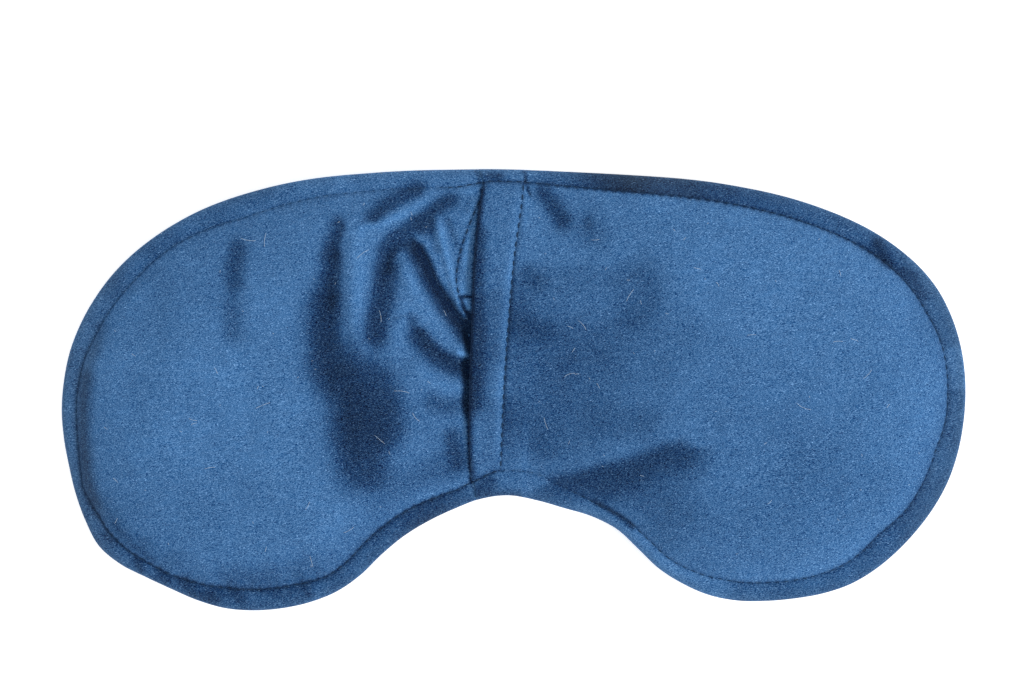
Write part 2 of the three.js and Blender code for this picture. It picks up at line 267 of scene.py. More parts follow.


# Folds of the back cloth: path, half width, height, and the painted shade laid along it, darker in hollows and
# creases and lighter on ridges.
# A pair of half widths is for the left and right side of the path's direction.
LEFT_FOLDS = [
    # the long soft hollow between the pad and the puckers
    ([(-41.9, 39.5), (-42.8, 36), (-43.3, 33)], (1.2, 2.6), -0.5, -0.64),
    ([(-43.4, 32), (-43.8, 23)], (2.0, 3.6), -0.8, -0.82),
    ([(-44.4, 20), (-44.7, 14), (-44, 6)], (2.9, 5.9), -0.9, -0.88),
    ([(-40, 1.5), (-38.5, -3), (-37.2, -9)], (9.0, 6.8), -0.9, -0.90),
    ([(-37.2, -9), (-37.2, -17), (-36.4, -19.5)], (6.2, 6.4), -0.6, -0.76),
    ([(-33.5, 2), (-30.6, -5), (-30.6, -9)], 4.2, -0.3, -0.50),
    ([(-28, 2), (-20.3, -10)], 7.0, -0.3, -0.18),
    # shallow dents in the pad
    ([(-66.6, 34.2), (-67.4, 30), (-67.4, 26)], (2.6, 3.0), -0.5, -0.50),
    ([(-67.8, 21), (-67.8, 14)], 2.9, -0.3, -0.28),
    ([(-87, 22), (-88, 11), (-92, -5)], 4.5, -0.25, -0.04),
    # the ridge between the hollow and the looped pucker
    ([(-38.5, 41), (-38.4, 30), (-38.2, 18), (-37, 11)], 2.2, 0.6, 0.04),
    # the looped pucker
    ([(-33.7, 13.5), (-33.5, 16), (-32.6, 20), (-31.8, 24.5), (-31.4, 29)], (3.0, 3.5), -1.0, -0.86),
    ([(-31.4, 29.5), (-30.6, 32.4), (-28, 35), (-25.2, 35.6)], 1.5, -0.9, -0.70),
    ([(-23, 34.2), (-21.2, 30.7), (-19.6, 26.7), (-17.5, 23.2), (-15.1, 19.6), (-12.6, 16), (-11.2, 13.6)],
     (1.3, 3.1), -1.3, -1.25),
    # the band over the loop, and the patch over that
    ([(-16, 46.4), (-17.9, 45.2), (-21.8, 41.8), (-26.2, 38.9), (-29.6, 36.6), (-31.8, 33.6)],
     (2.6, 2.0), -0.8, -0.70),
    ([(-23.2, 41.2), (-21.2, 38.6)], 1.9, -0.2, -0.45),
    ([(-23.4, 48.3), (-27.2, 46.5), (-31, 44.1), (-33.8, 41.8)], (1.6, 2.8), -0.5, -0.66),
    ([(-8.2, 48.9), (-12.5, 49.3), (-16.7, 48.3), (-20.8, 46.6), (-25.2, 43.7), (-31.3, 41), (-36.9, 39.4)],
     1.0, 0.6, 0.10),
    # the thin ridge beside the underlap's stitching, painted lighter, and painted shade round it
    ([(-18.6, 41.6), (-17.4, 36.4), (-16, 31), (-14.7, 26.4), (-13.3, 21.6)], 1.1, 0.8, 0.20),
    ([(-16.2, 41.5), (-15.2, 38.4), (-14, 35)], 0.8, -0.3, -0.30),
    ([(-20.6, 41.2), (-19.9, 37.4), (-19, 34)], 1.0, -0.3, -0.30),
    ([(-17, 42), (-14, 30)], 4.0, 0, -0.14),
    ([(-10.8, 46), (-11.6, 44.2)], 1.2, -0.2, -0.20),
    ([(-9.6, 45), (-10.8, 38), (-11.8, 30)], 0.8, 0.2, 0.20),
    # the short puckers under the loop
    ([(-26.4, 29.1), (-22.2, 22.2), (-17.4, 16.4), (-13, 11)], 2.3, 0.9, 0.06),
    ([(-24.9, 17), (-23.6, 14.6)], 1.3, -0.5, -0.50),
    ([(-22.5, 13.2), (-20.9, 11.2), (-18, 8.6), (-15, 6.9), (-12.9, 6.3)], (1.7, 3.5), -0.9, -0.95),
    ([(-29.1, 17.2), (-26.9, 17.7), (-25, 18.4)], 0.4, -0.2, -0.30),
    ([(-22.8, 5), (-17.9, 1.8), (-13, 0.9)], 2.4, 0.5, 0.04),
    ([(-20, -3), (-16.4, -3.8), (-13.3, -3.6)], 2.6, -0.4, -0.42),
    ([(-15, -11.5), (-13.8, -17.5)], 2.5, -0.3, -0.50),
    # the end of the underlap's hem, and the creases under it and at the brow, painted dark, with painted light on
    # the folds between
    ([(-12.8, 22.6), (-9.9, 22.6)], 0.42, -0.5, -1.2),
    ([(-12.8, 22.4), (-12.2, 20), (-10.6, 17.6)], 0.5, -0.5, -1.2),
    ([(-11.2, 21.2), (-10.7, 19.6)], 0.8, 0.2, 0.25),
    ([(-13.6, 8.9), (-10.8, 8.2)], 0.7, 0.6, 0.3),
    ([(-9.0, 53), (-8.2, 50.5), (-7.9, 48)], 0.35, -0.3, -0.5),
    # painted shade: darker bands along the nose side, the lower edge and the left rim
    ([(-15, -17), (-22, -19.5), (-31, -22)], 4.0, 0, -0.20),
    ([(-15, -19), (-24, -23.5), (-31.5, -29), (-36.5, -35.5), (-42.5, -41.5), (-54, -46), (-68, -47.5)],
     4.5, 0, -0.26),
    ([(-100.2, 15), (-102, 9)], 1.8, 0, -0.16),
    ([(-103.6, 3), (-104.2, -3), (-104.4, -10), (-103.8, -20), (-102.4, -27)], 2.3, 0, -0.42),
    ([(-99.5, -29), (-95, -35), (-89, -39)], 3.2, 0, -0.22),
    ([(-84, -42), (-74, -45.5), (-60, -46), (-50, -44.5)], 3.6, 0, -0.16),
    ([(-90, -28), (-70, -34), (-50, -34)], 12.0, 0, -0.08),
    # painted shade in the creases of the border round the left cheek, and darker patches there
    ([(-91.6, -41.4), (-90.6, -44)], 0.9, 0, -0.36),
    ([(-86, -43.6), (-84.6, -46.4)], 1.3, 0, -0.32),
    ([(-79.5, -46.6), (-77, -49.5), (-73.5, -50.6)], 2.0, 0, -0.42),
    ([(-68.5, -49), (-66, -51)], 1.2, 0, -0.22),
    ([(-51, -46.6), (-49.4, -49.6)], 1.4, 0, -0.28),
    ([(-97, -32.6), (-92.6, -37.6), (-87.4, -41.4)], 0.8, -0.2, -0.22),
]
RIGHT_FOLDS = [
    # painted shade in the creases of the border where it crosses the opening, and darker patches there
    ([(2.6, 53.2), (3.0, 50.4), (4.1, 47.4)], 0.32, -0.5, -0.9),
    ([(-6.2, 52.2), (-3.2, 51.8)], 1.0, -0.1, -0.45),
    ([(-8.5, 52.6), (-7.9, 49.5)], 0.9, 0, -0.50),
    ([(-8.8, -25.2), (-5.5, -22.8)], 2.0, 0, -0.40),
    ([(-6, -25.8), (1, -26)], 1.2, 0, -0.34),
    # the pad's soft hollows and broad painted shade, from the brow down
    ([(7.2, 48), (9.4, 44.8), (11.8, 41.4)], 2.5, -0.4, -0.60),
    ([(17.9, 41.8), (18, 39.8)], 1.3, -0.2, -0.30),
    ([(12, 39), (19, 37.5)], 3.0, 0, -0.12),
    ([(19, 43), (20, 36)], 3.5, 0, -0.13),
    ([(3.0, 28.5), (4.6, 27)], 2.6, -0.3, -0.24),
    ([(3, 26.5), (14, 27), (24, 26.5)], 4.0, -0.2, -0.20),
    ([(30.5, 28.5), (32, 24), (29, 18)], 4.6, -0.3, -0.30),
    ([(0, 16), (7, 14)], 3.2, -0.2, -0.34),
    ([(1, 16), (8, 6), (8, -10)], 11.0, -0.4, -0.36),
    ([(18, 14), (20, 4)], 7.0, -0.1, -0.18),
    ([(28, 15), (44, 11)], 9.0, 0, -0.12),
    ([(24, 8), (34, 4)], 6.0, 0, -0.14),
    ([(20, -7), (31, -8)], 5.0, 0, -0.24),
    ([(-1.3, -3), (-1.5, -18)], 1.8, 0, -0.20),
    ([(2, -8), (5, -12)], 5.0, -0.2, -0.20),
    ([(60, 0), (72, -12)], 16.0, 0, -0.08),
    ([(50, -9), (66, -15)], 10.0, 0, -0.08),
    ([(0.5, 20), (0.5, 2), (0, -8)], 3.0, 0, -0.11),
    ([(10.5, -23), (18, -21.2), (28, -18.4), (36, -15.2), (40, -14.4)], (2.4, 6.4), -0.5, -0.60),
    ([(24, -25), (36, -28)], 7.0, -0.2, -0.22),
    ([(46, -34), (84, -30)], 15.0, 0, -0.17),
    ([(96, 16), (92, -20)], 13.0, 0, -0.10),
    ([(20.1, -27.4), (22.8, -28.9), (26.4, -31.3), (28.9, -33.3)], 0.7, -0.4, -0.7),
    # painted shade of small folds in the border round the right of the brow
    ([(88.4, 35.5), (90.6, 31)], 1.6, 0, -0.56),
    ([(95, 29), (97.6, 27.2)], 1.4, 0, -0.26),
    ([(84, 34.8), (90, 31.3), (95.5, 27.8), (100, 22.8)], 1.3, 0, -0.20),
]


def fold_weights(p, folds):
    """Each fold with its weight at each point: 1 along its path, fading out over its half width."""
    for path, half_width, height, shade in folds:
        line = curve(path, 24)
        gap, at = path_distance(p.xy, line)
        if isinstance(half_width, tuple):
            i = np.minimum(at.astype(int), len(line) - 2)
            step = line[i + 1] - line[i]
            side = step[:, 0] * (p.y - line[i, 1]) - step[:, 1] * (p.x - line[i, 0])
            side = side / np.linalg.norm(step, axis=1)
            half_width = half_width[1] + (half_width[0] - half_width[1]) * smooth(-1, 1, side)
        yield height, shade, np.exp(-(gap / half_width) ** 2.3)


def fold_height(p, folds):
    return sum(height * weight for height, _, weight in fold_weights(p, folds))


def fold_shade(p, folds):
    """The folds' shade. Dark ones that cross aren't darker there than either alone could make them twice."""
    light, left = np.zeros(len(p.x)), np.ones(len(p.x))
    for _, shade, weight in fold_weights(p, folds):
        light += max(shade, 0) * weight
        left *= 1 + min(shade, 0) * weight
    return light - (1 - left)


def border_top(p):
    """Upper side of the flat border, with the groove that the topstitching pulls."""
    groove = (0.2 + 0.25 * stitch_pull(p)) * (1 + 0.15 * stitch_beat(p)) * np.exp(-(p.past_stitch / 0.4) ** 2)
    ripple = (0.22 * waves(p.x, p.y, 13, 3) + 0.2 * crumple(p) * waves(p.x, p.y, 5, 4)) * smooth(0, 2, p.edge)
    return seam_z(p) + BORDER_HALF * border_round(p) + ripple - groove


def upper_sheet(p, plateau, thick):
    """A back panel: the border, the steep rim of the pad and the panel's own plateau."""
    scallop = 0.14 * stitch_beat(p) * np.exp(-(p.past_stitch / 1.6) ** 2)
    rim = border_top(p) + thick
    return rim + (plateau - rim) * pad_rise(p.past_stitch - scallop)


def left_top(p):
    """Upper side of the left back panel, down to the underlap that goes under the flap."""
    share = 1 - smooth(-40, -13, p.x)
    plateau = UNDERLAP_TOP + (PAD_TOP - UNDERLAP_TOP) * share + 0.30 * waves(p.x, p.y, 42, 5)
    bulge = 1.3 * np.exp(-((p.x + 20) / 8) ** 2) * smooth(-20, 8, p.y)
    puckers = fold_height(p, LEFT_FOLDS)
    before_flap = 1 - smooth(-12, -8.5, p.x)
    plateau = plateau + (bulge + puckers) * before_flap
    slot = np.exp(-((p.x + 10.8) / 1.5) ** 2) * smooth(-12, -4, p.y) * (1 - smooth(12, 18, p.y))
    plateau = plateau - 1.4 * slot
    under = smooth(-13, -9, p.x)
    plateau = plateau * (1 - under) + np.minimum(plateau, UNDERLAP_TOP - 0.2) * under
    return upper_sheet(p, plateau, 0)


def right_top(p):
    """Upper side of the right back panel, from the flap's stitching."""
    base = FLAP_TOP - 0.3
    plateau = base + (PAD_TOP - base) * smooth(4, 48, p.x) + 0.28 * waves(p.x, p.y, 45, 8)
    plateau += fold_height(p, RIGHT_FOLDS)
    hem = p.x - x_at(FLAP_STITCH_CURVE, p.y)
    groove = 0.4 * np.exp(-(hem / 0.5) ** 2)
    over_underlap = 1 - smooth(2.4, 3.3, p.x)
    return upper_sheet(p, plateau - groove, 0.5 * over_underlap)


def lower_sheet(p):
    """Underside of the front cloth."""
    groove = 0.5 * np.exp(-(p.past_stitch / 0.6) ** 2)
    border = seam_z(p) - BORDER_HALF * border_round(p) + groove
    middle = 1 - (1 - smooth(-0.5, 9, p.past_stitch)) ** 1.6
    sag = 0.25 * (1 + waves(p.x, p.y, 34, 12)) * smooth(4, 16, p.past_stitch)
    return np.maximum(border * (1 - middle) + sag, 0)


# ---- Meshes ----

def make_mesh(name, vertices, faces, smooth_faces=True):
    """A mesh object from millimetres."""
    mesh = bpy.data.meshes.new(name)
    mesh.from_pydata((np.asarray(vertices) * MM).tolist(), [], faces)
    mesh.validate()
    mesh.polygons.foreach_set("use_smooth", [smooth_faces] * len(mesh.polygons))
    rest = mesh.attributes.new("rest", "FLOAT_VECTOR", "POINT")
    rest.data.foreach_set("vector", np.array([v.co for v in mesh.vertices]).ravel() / MM)
    obj = bpy.data.objects.new(name, mesh)
    bpy.context.collection.objects.link(obj)
    return obj


def net(polygon, spacing):
    """An even triangle net of points inside a polygon."""
    low, high = polygon.min(0), polygon.max(0)
    rows = np.arange(low[1], high[1], spacing * math.sqrt(0.75))
    columns = np.arange(low[0], high[0], spacing)
    points = np.array([(x + spacing / 2 * (j % 2), y) for j, y in enumerate(rows) for x in columns])
    return points[inside(points, polygon)]


def triangulate(polygon, spacing, shares=(), fine=None):
    """A triangle net inside a polygon, with rings along the mask's edge and a finer net for an x range."""
    points = net(polygon, spacing)
    if fine:
        low_x, high_x, fine_spacing = fine
        dense = net(polygon, fine_spacing)
        dense = dense[(dense[:, 0] > low_x) & (dense[:, 0] < high_x)]
        points = np.vstack([points[(points[:, 0] < low_x) | (points[:, 0] > high_x)], dense])
    if shares:
        p = Place(points)
        points = points[p.edge > (p.edge - p.past_stitch) * shares[-1] + spacing * 0.4]
        rings = np.vstack([edge_ring(share) for share in shares if share > 0])
        points = np.vstack([points, rings[inside(rings, polygon)]])
    gap, _ = path_distance(points, np.vstack([polygon, polygon[:1]]))
    points = points[gap > 0.3]
    n = len(polygon)
    sides = [(i, (i + 1) % n) for i in range(n)]
    flat = [Vector(p) for p in np.vstack([polygon, points])]
    verts, _, faces, *_ = delaunay_2d_cdt(flat, sides, [list(range(n))], 1, 1e-5)
    return np.array(verts), [list(f) for f in faces]


def grid_mesh(name, grid, wrap=False):
    """A mesh from rows of points. wrap joins the last point of each row to its first."""
    rows, columns, _ = grid.shape
    faces = []
    for r in range(rows - 1):
        for c in range(columns if wrap else columns - 1):
            a, b = r * columns + c, r * columns + (c + 1) % columns
            faces.append((a, b, b + columns, a + columns))
    return make_mesh(name, grid.reshape(-1, 3), faces)


def tubes(name, paths, radii, sides):
    """Thin closed tubes along paths of 3-D points, as one mesh, with a radius for each point of a path."""
    vertices, faces = [], []
    turn = np.arange(sides) * 2 * math.pi / sides
    for path in paths:
        along = np.gradient(path, axis=0)
        across = np.cross(along, (0, 0, 1.0))
        across /= np.linalg.norm(across, axis=1)[:, None]
        up = np.cross(across, along)
        up /= np.linalg.norm(up, axis=1)[:, None]
        start = len(vertices)
        for point, a, u, radius in zip(path, across, up, radii):
            vertices.extend(point + radius * (math.cos(k) * a + math.sin(k) * u) for k in turn)
        for i in range(len(path) - 1):
            for k in range(sides):
                a, b = start + i * sides + k, start + i * sides + (k + 1) % sides
                faces.append((a, b, b + sides, a + sides))
        faces.append(tuple(range(start + sides - 1, start - 1, -1)))
        faces.append(tuple(range(len(vertices) - sides, len(vertices))))
    return make_mesh(name, vertices, faces)


def stitches(name, path, radius=0.15):
    """A row of lockstitches along a path of 3-D points: each dips into the cloth at both ends."""
    length = np.linalg.norm(np.diff(path[:, :2], axis=0), axis=1).sum()
    steps = 6
    fine = resample(path, int(length / STITCH_PITCH) * steps + 1, False)
    dip = np.array([-0.35, 0, 0.05, 0, -0.35])
    paths = []
    for i in range(0, len(fine) - steps, steps):
        stitch = fine[i:i + 5].copy()
        stitch[:, 2] += dip
        paths.append(stitch)
    return tubes(name, paths, radius * np.array([0.6, 1, 1, 1, 0.6]), 6)


def pillow(name, polygon, low, high, spacing, rim):
    """A closed pad between two sheets that meet along the polygon, rounded over a rim's width."""
    xy, faces = triangulate(polygon, spacing)
    p = Place(xy)
    gap, _ = path_distance(xy, np.vstack([polygon, polygon[:1]]))
    plump = np.sqrt(1 - (1 - np.clip(gap / rim, 0, 1)) ** 2)
    bottom, top = low(p), high(p)
    middle = bottom + 0.45 * (top - bottom)
    upper = np.column_stack([xy, middle + (top - middle) * plump])
    lower = np.column_stack([xy, middle + (bottom - middle) * plump])
    within = gap > 1e-3
    under = np.where(within, len(xy) + np.cumsum(within) - 1, np.arange(len(xy)))
    lower = lower[within]
    faces = faces + [[int(under[i]) for i in f[::-1]] for f in faces]
    return make_mesh(name, np.vstack([upper, lower]), faces)


RINGS = (0, 0.07, 0.18, 0.34, 0.54, 0.74, 0.88, 1.0, 1.1, 1.22, 1.4, 1.65)


def cloth(name, polygon, height, spacing=1.1, shares=RINGS, flip=False, fine=None):
    """A sheet of cloth over a polygon of the mask's plan."""
    xy, faces = triangulate(polygon, spacing, shares, fine)
    place = Place(xy)
    if flip:
        faces = [f[::-1] for f in faces]
    obj = make_mesh(name, np.column_stack([xy, height(place)]), faces)
    return obj, place


def edge_run(ring, keep):
    """The one run of a ring's points for which keep(x, y) holds, in order."""
    mask = keep(ring[:, 0], ring[:, 1])
    start = next(i for i in range(len(ring)) if mask[i] and not mask[i - 1])
    rolled, held = np.roll(ring, -start, 0), np.roll(mask, -start)
    return rolled[:np.argmin(held)] if not held.all() else rolled


def straight(a, b, spacing=0.9):
    """Points between a and b, without the two ends."""
    a, b = np.array(a, float), np.array(b, float)
    count = max(int(np.linalg.norm(b - a) / spacing), 1)
    return a + (b - a) * (np.arange(1, count) / count)[:, None]


def half_polygon(side, cut):
    """The mask's plan on one side of a brow-to-nose line."""
    run = edge_run(EDGE_XY, (lambda x, y: x < cut) if side == "left" else (lambda x, y: x > cut))
    ends = [np.array([[cut, run[k][1] + (run[k][1] - run[k + s][1]) * 0.2]]) for k, s in ((-1, -1), (0, 1))]
    return np.vstack([run, ends[0], straight(ends[0][0], ends[1][0]), ends[1]])


def bend(obj, side):
    start, end = BENDS[side]
    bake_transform(obj)
    return obj


def set_values(mesh, name, values):
    attribute = mesh.attributes.new(name, "FLOAT", "POINT")
    attribute.data.foreach_set("value", values.astype(np.float32))


def greying_and_sheen(p):
    """How far the pile's colour is mixed towards grey: at the rounded edge this is a painted sheen; along the
    brow's right, the borders at both ends and inside the left rim it is a greyer tone of the pile.
    """
    # painted sheen: the rounded edge greyer
    edge = 0.16 * np.exp(-(p.edge / 1.8) ** 2)
    brow = 0.16 * np.exp(-((p.x - 34) / 14) ** 2) * (p.y > 0) * smooth(-0.4, 0.6, -p.past_stitch)
    ends = 0.10 * smooth(90, 100, np.abs(p.x)) * smooth(-0.4, 0.6, -p.past_stitch)
    left_rim = 0.22 * smooth(96, 102, -p.x) * smooth(-18, -8, -p.y) * np.exp(-((p.past_stitch - 1.5) / 2.2) ** 2)
    return edge + brow + ends + left_rim


def set_painted_shade(obj, place, folds, base, painted_slope_light):
    """Painted shade of the velvet at each point, 1 where it looks bright and 0 where it looks dark: the base and
    the folds' painted shade, with slopes painted lighter towards the key light. Also how grey the pile is.
    """
    mesh = obj.data
    normal = np.zeros(len(mesh.vertices) * 3)
    mesh.vertices.foreach_get("normal", normal)
    nx, ny = normal.reshape(-1, 3)[:, 0], normal.reshape(-1, 3)[:, 1]
    shade = fold_shade(place, folds)
    # painted light and shade by slope: faces turned towards +x and -y, where the key light is, lighter, and faces
    # turned away darker
    painted_shade = base(place) + shade + painted_slope_light * (nx - 0.35 * ny) * smooth(-0.3, 2.5, place.past_stitch)
    set_values(mesh, "painted_shade", np.clip(painted_shade, -0.3, 1.3))
    set_values(mesh, "greying_and_sheen", greying_and_sheen(place))


# ---- Materials ----

def new_material(name):
    material = bpy.data.materials.new(name)
    material.use_nodes = True
    nodes, links = material.node_tree.nodes, material.node_tree.links
    return material, nodes, links, nodes["Principled BSDF"]


def math_node(nodes, links, operation, a, b):
    node = nodes.new("ShaderNodeMath")
    node.operation = operation
    for socket, value in zip(node.inputs, (a, b)):
        if isinstance(value, (int, float)):
            socket.default_value = value
        else:
            links.new(value, socket)
    return node.outputs[0]


def vector_node(nodes, links, operation, a, b):
    node = nodes.new("ShaderNodeVectorMath")
    node.operation = operation
    second = node.inputs["Scale" if operation == "SCALE" else 1]
    for socket, value in ((node.inputs[0], a), (second, b)):
        if isinstance(value, tuple):
            socket.default_value = value
        else:
            links.new(value, socket)
    return node.outputs[0]


def noise_node(nodes, links, vector, scale, detail, roughness=0.6):
    node = nodes.new("ShaderNodeTexNoise")
    node.inputs["Scale"].default_value = scale
    node.inputs["Detail"].default_value = detail
    node.inputs["Roughness"].default_value = roughness
    links.new(vector, node.inputs["Vector"])
    return node.outputs["Fac"]


def velvet_material():
    """Short-pile velvet: the cloth's painted shade, with random patches and streaks, picks the colour, under a
    fine slanting speckle with paler flecks as painted glints, and the pile is mixed towards grey where it is
    greyer and where the rounded edge carries a painted sheen.
    """
    material, nodes, links, shader = new_material("velvet")
    rest = nodes.new("ShaderNodeAttribute")
    rest.attribute_name = "rest"
    painted_shade = nodes.new("ShaderNodeAttribute")
    painted_shade.attribute_name = "painted_shade"
    position = rest.outputs["Vector"]

    strokes = nodes.new("ShaderNodeMapping")
    strokes.vector_type = "TEXTURE"
    strokes.inputs["Rotation"].default_value = (0, 0, 0.2)
    strokes.inputs["Scale"].default_value = (0.9, 0.3, 0.5)
    links.new(position, strokes.inputs["Vector"])

    patches = noise_node(nodes, links, position, 0.11, 3)
    brushed = noise_node(nodes, links, strokes.outputs["Vector"], 0.3, 3)
    speckle = noise_node(nodes, links, strokes.outputs["Vector"], 2.3, 2, 0.8)
    # the painted shade from the cloth, plus random patches and streaks in the pile's tone
    shade = painted_shade.outputs["Fac"]
    for noise, amount in ((patches, 0.25), (brushed, 0.30)):
        centred = math_node(nodes, links, "SUBTRACT", noise, 0.5)
        shade = math_node(nodes, links, "ADD", shade, math_node(nodes, links, "MULTIPLY", centred, amount))

    # the tips of the pile: paler flecks on the speckle as painted glints, both stronger where the painted shade is
    # bright
    tips = noise_node(nodes, links, strokes.outputs["Vector"], 1.9, 1)
    painted_glints = math_node(nodes, links, "MAXIMUM", math_node(nodes, links, "SUBTRACT", tips, 0.60), 0)
    painted_glints = math_node(nodes, links, "MULTIPLY", painted_glints, 2.2)
    grain = math_node(nodes, links, "ADD", math_node(nodes, links, "SUBTRACT", speckle, 0.52), painted_glints)
    gain = math_node(nodes, links, "ADD", math_node(nodes, links, "MULTIPLY", painted_shade.outputs["Fac"], 0.90), 0.68)
    tint = vector_node(nodes, links, "SCALE", (0.36, 0.60, 0.92), math_node(nodes, links, "MULTIPLY", grain, gain))

    ramp = nodes.new("ShaderNodeValToRGB")
    stops = [(0.0, (0.0005, 0.016, 0.056)), (0.25, (0.0095, 0.0535, 0.147)), (0.5, (0.055, 0.158, 0.348)),
             (0.75, (0.112, 0.303, 0.636)), (1.0, (0.200, 0.500, 0.930))]
    ramp.color_ramp.elements[0].position = stops[0][0]
    ramp.color_ramp.elements[0].color = (*stops[0][1], 1)
    ramp.color_ramp.elements[1].position = stops[-1][0]
    ramp.color_ramp.elements[1].color = (*stops[-1][1], 1)
    for stop, colour in stops[1:-1]:
        ramp.color_ramp.elements.new(stop).color = (*colour, 1)
    scaled = math_node(nodes, links, "MULTIPLY", shade, 0.49)
    links.new(math_node(nodes, links, "ADD", scaled, 0.07), ramp.inputs["Fac"])
    greying_attribute = nodes.new("ShaderNodeAttribute")
    greying_attribute.attribute_name = "greying_and_sheen"
    uneven = math_node(nodes, links, "ADD", brushed, 0.5)
    # mixes towards grey: painted sheen at the rounded edge, a greyer tone elsewhere
    greyed_colour = nodes.new("ShaderNodeMix")
    greyed_colour.data_type = "RGBA"
    links.new(math_node(nodes, links, "MULTIPLY", greying_attribute.outputs["Fac"], uneven), greyed_colour.inputs[0])
    tipped = vector_node(nodes, links, "ADD", ramp.outputs["Color"], tint)
    links.new(vector_node(nodes, links, "MAXIMUM", tipped, (0.001, 0.003, 0.008)), greyed_colour.inputs[6])
    greyed_colour.inputs[7].default_value = (0.065, 0.085, 0.090, 1)
    links.new(greyed_colour.outputs[2], shader.inputs["Base Color"])

    bump = nodes.new("ShaderNodeBump")
    bump.inputs["Strength"].default_value = 0.5
    bump.inputs["Distance"].default_value = 0.00018
    links.new(speckle, bump.inputs["Height"])
    links.new(bump.outputs["Normal"], shader.inputs["Normal"])
    shader.inputs["Roughness"].default_value = 0.95
    shader.inputs["Specular IOR Level"].default_value = 0.08
    shader.inputs["Sheen Weight"].default_value = 0.15
    shader.inputs["Sheen Roughness"].default_value = 0.45
    shader.inputs["Sheen Tint"].default_value = (0.35, 0.60, 1.0, 1)
    return material


def plain_material(name, dark, light, scale, roughness, bump_mm):
    """A fibre or grain whose colour varies between two values."""
    material, nodes, links, shader = new_material(name)
    rest = nodes.new("ShaderNodeAttribute")
    rest.attribute_name = "rest"
    fac = noise_node(nodes, links, rest.outputs["Vector"], scale, 3)
    ramp = nodes.new("ShaderNodeValToRGB")
    for element, colour in zip(ramp.color_ramp.elements, (dark, light)):
        element.color = (*colour, 1)
    links.new(fac, ramp.inputs["Fac"])
    links.new(ramp.outputs["Color"], shader.inputs["Base Color"])
    bump = nodes.new("ShaderNodeBump")
    bump.inputs["Distance"].default_value = bump_mm * MM
    links.new(fac, bump.inputs["Height"])
    links.new(bump.outputs["Normal"], shader.inputs["Normal"])
    shader.inputs["Roughness"].default_value = roughness
    shader.inputs["Specular IOR Level"].default_value = 0.15
    return material


VELVET = velvet_material()
THREAD = plain_material("thread", (0.008, 0.026, 0.065), (0.018, 0.055, 0.125), 4, 0.8, 0.05)
COTTON = plain_material("cotton", (0.55, 0.50, 0.40), (0.80, 0.75, 0.64), 2.5, 0.9, 0.1)
GRAIN = plain_material("grain", (0.10, 0.035, 0.012), (0.36, 0.17, 0.07), 0.6, 0.5, 0.8)
LINT = plain_material("lint", (0.36, 0.52, 0.72), (0.70, 0.82, 0.92), 1, 0.8, 0.02)


def dress(obj, material):
    obj.data.materials.append(material)
    return obj


# ---- The cover ----

def border_shade(p):
    """Painted shade of the flat border: painted shade along the brow's right and in the crumpled left cheek, a
    painted highlight along the rounded edge, darker and lighter stretches along the nose side and at both ends,
    and a random mottle.
    """
    brow_right = (np.exp(-((p.x - 38) / 24) ** 2) + np.exp(-((p.x - 25) / 8) ** 2)) * (p.y > 0)
    brow = (p.y > 10) * (smooth(2, 20, p.x) + 0.4 * smooth(55, 75, p.x))
    cheek = crumple(p) * (0.12 + 0.12 * waves(p.x, p.y, 7, 6))
    nose_left = (p.y < -20) * np.exp(-((p.x + 21) / 9) ** 2)
    nose_right = (p.y < 0) * (1.6 * smooth(3, 11, p.x) - 2.6 * smooth(48, 58, p.x))
    left = smooth(48, 66, -p.x) * smooth(-14, 4, p.y) * (1 + 0.5 * waves(p.x, p.y, 9, 6))
    left *= 1 - 0.6 * smooth(94, 104, -p.x)
    # painted highlight along the rounded outer edge
    rim = 0.14 * np.exp(-p.edge ** 2) * smooth(-30, 10, p.y)
    right = smooth(90, 102, p.x) * smooth(0, 14, p.y) + nose_right
    mottle = 0.05 * waves(p.x, p.y, 8, 7)
    dark = 0.35 * brow_right + 0.16 * brow + cheek + 0.20 * left + 0.55 * nose_left
    return 0.80 - dark + 0.12 * right + rim + mottle


def back_shade(p):
    pad = 0.90
    border = border_shade(p)
    inset = p.past_stitch - 0.15 * stitch_beat(p) * stitch_pull(p)
    # painted shade: the topstitching's groove drawn darker, most where the stitching pulls hard
    groove = (0.06 + 0.30 * stitch_pull(p)) * np.exp(-(inset / 0.3) ** 2)
    return border + (pad - border) * smooth(-0.3, 0.8, inset) - groove


def left_shade(p):
    """The left panel also has a painted shadow in the gap beside the flap, painted shade along its own hem
    stitching, and a little painted light on the pad's lower left.
    """
    gap, _ = path_distance(p.xy, UNDERLAP_STITCH_CURVE)
    stitch = 0.55 * np.exp(-(gap / 0.4) ** 2)
    flap = p.x - x_at(FLAP_EDGE_CURVE, p.y)
    width = np.interp(p.y, [-22, -8, -5, -3, 5, 7, 8.5, 10, 15, 18, 20, 46],
                      [0.4, 0.6, 1.9, 2.6, 2.7, 2.3, 0.9, 1.9, 2.4, 2.2, 0.4, 0.4])
    shadow = 0.8 * smooth(-width, -0.35 * width, flap) * smooth(-0.4, 0.4, p.past_stitch)
    light = 0.07 * smooth(80, 95, -p.x) * smooth(-30, -15, p.y) * smooth(1, 4, p.past_stitch)
    return back_shade(p) - stitch - shadow + light


def right_shade(p):
    hem = p.x - x_at(FLAP_STITCH_CURVE, p.y)
    # painted shade: a darker band just inside the topstitching at the right end, and a dark line along the flap's
    # stitching
    rim = 0.18 * smooth(90, 102, p.x) * smooth(0, 1, p.past_stitch) * np.exp(-(p.past_stitch / 4.5) ** 2)
    return back_shade(p) - rim - 0.22 * np.exp(-(hem / 0.4) ** 2) * (p.past_stitch > 0)


